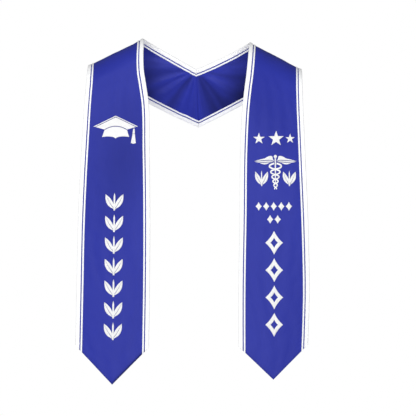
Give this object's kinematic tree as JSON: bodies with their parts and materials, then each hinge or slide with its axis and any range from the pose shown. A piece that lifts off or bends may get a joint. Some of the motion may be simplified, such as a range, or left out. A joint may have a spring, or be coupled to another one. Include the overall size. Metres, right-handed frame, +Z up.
{
  "type": "graduation stole",
  "caption": "Satin graduation stole in its worn form: a V collar at the back, two pointed front panels, white bound edges and inset stripes, white appliques.",
  "frame": {"origin": "the nape: the top of the centre back seam, where the collar rests on the back of the neck", "axes": "+Z up, -Y the way the wearer faces, +X to the right as seen from the front"},
  "size_m": [0.4221, 0.1935, 0.6255],
  "materials": {
    "satin": "royal blue satin",
    "tape": "white satin binding",
    "applique": "white matt embroidery"
  },
  "bodies": {
    "root": {"left_collar": "satin", "left_panel": "satin", "left_neck_binding": "tape", "left_neck_stripe_outside": "tape", "left_neck_stripe_inside": "tape", "left_outer_binding": "tape", "left_outer_stripe_outside": "tape", "left_outer_stripe_inside": "tape", "right_collar": "satin", "right_panel": "satin", "right_neck_binding": "tape", "right_neck_stripe_outside": "tape", "right_neck_stripe_inside": "tape", "right_outer_binding": "tape", "right_outer_stripe_outside": "tape", "right_outer_stripe_inside": "tape", "cap_board": "applique", "cap_crown": "applique", "cap_tassel": "applique", "leaf_spray_1": "applique", "leaf_spray_2": "applique", "leaf_spray_3": "applique", "leaf_spray_4": "applique", "leaf_spray_5": "applique", "leaf_spray_6": "applique", "leaf_spray_7": "applique", "star_left": "applique", "star_middle": "applique", "star_right": "applique", "winged_staff": "applique", "side_spray_left": "applique", "side_spray_right": "applique", "small_lozenge_1_1": "applique", "small_lozenge_1_2": "applique", "small_lozenge_1_3": "applique", "small_lozenge_1_4": "applique", "small_lozenge_1_5": "applique", "small_lozenge_2_1": "applique", "small_lozenge_2_2": "applique", "lozenge_1": "applique", "lozenge_2": "applique", "lozenge_3": "applique", "lozenge_4": "applique"}
  },
  "joints": []
}
